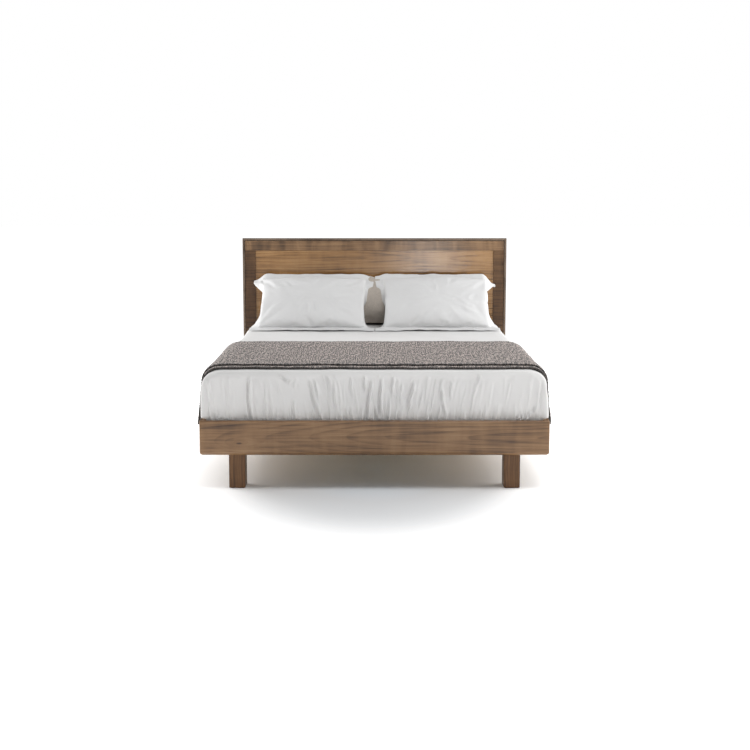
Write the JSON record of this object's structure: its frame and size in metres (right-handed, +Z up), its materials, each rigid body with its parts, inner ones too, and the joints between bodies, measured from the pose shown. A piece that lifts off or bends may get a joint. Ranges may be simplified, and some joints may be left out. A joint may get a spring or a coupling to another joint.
{
  "type": "platform bed",
  "caption": "Low walnut platform bed with a flat framed headboard and slatted deck, dressed with mattress, duvet, throw, cushion and pillows.",
  "frame": {"origin": "on the floor under the middle of the bed's length and width", "axes": "+X across the bed to the right as seen from the foot, +Y along the bed from foot to headboard, +Z up"},
  "size_m": [1.702, 2.14, 1.085],
  "materials": {
    "walnut": "satin",
    "leg_wood": "satin",
    "trim_wood": "satin",
    "back_board": "matte",
    "slat_wood": "matte",
    "steel": "satin",
    "bracket_steel": "satin",
    "brass": "satin",
    "felt": "matte",
    "mattress_ticking": "matte",
    "white_cotton": "matte",
    "pillow_cotton": "matte",
    "taupe_knit": "matte",
    "taupe_weave": "matte"
  },
  "bodies": {
    "bed_frame": {"front_rail": "walnut", "left_side_rail": "walnut", "right_side_rail": "walnut", "head_rail": "walnut", "front_left_leg": "leg_wood", "front_right_leg": "leg_wood", "rear_left_leg": "leg_wood", "rear_right_leg": "leg_wood", "leg_bolts": "steel", "leg_inserts": "brass", "foot_pads": "felt", "corner_brackets": "bracket_steel", "bracket_screws": "steel", "left_ledge": "slat_wood", "right_ledge": "slat_wood", "ledge_screws": "steel", "centre_beam": "slat_wood", "beam_hangers": "bracket_steel", "centre_leg_front": "leg_wood", "centre_leg_rear": "leg_wood", "centre_leg_studs": "steel", "slat_1": "slat_wood", "slat_2": "slat_wood", "slat_3": "slat_wood", "slat_4": "slat_wood", "slat_5": "slat_wood", "slat_6": "slat_wood", "slat_7": "slat_wood", "slat_8": "slat_wood", "slat_9": "slat_wood", "slat_10": "slat_wood", "slat_11": "slat_wood", "slat_12": "slat_wood", "slat_13": "slat_wood", "slat_14": "slat_wood", "slat_screws": "steel", "headboard_panel": "walnut", "headboard_back": "back_board", "headboard_top_border": "walnut", "headboard_bottom_border": "walnut", "headboard_left_border": "walnut", "headboard_right_border": "walnut", "headboard_top_trim": "trim_wood", "headboard_bottom_trim": "trim_wood", "headboard_left_trim": "trim_wood", "headboard_right_trim": "trim_wood", "headboard_bolts": "steel", "headboard_inserts": "brass"},
    "bedding": {"mattress": "mattress_ticking", "duvet": "white_cotton", "throw": "taupe_knit"},
    "cushion": {"long_cushion": "taupe_weave"},
    "pillow_left": {"left_pillow": "pillow_cotton"},
    "pillow_right": {"right_pillow": "pillow_cotton"}
  },
  "joints": [
    {"name": "bedding_lift", "type": "slide", "parent": "bed_frame", "child": "bedding", "axis": [0, 0, 1], "range_m": [0, 0.5]},
    {"name": "cushion_lift", "type": "slide", "parent": "bedding", "child": "cushion", "axis": [0, 0, 1], "range_m": [0, 0.5]},
    {"name": "left_pillow_lift", "type": "slide", "parent": "cushion", "child": "pillow_left", "axis": [0, 0, 1], "range_m": [0, 0.5]},
    {"name": "right_pillow_lift", "type": "slide", "parent": "cushion", "child": "pillow_right", "axis": [0, 0, 1], "range_m": [0, 0.5]}
  ]
}
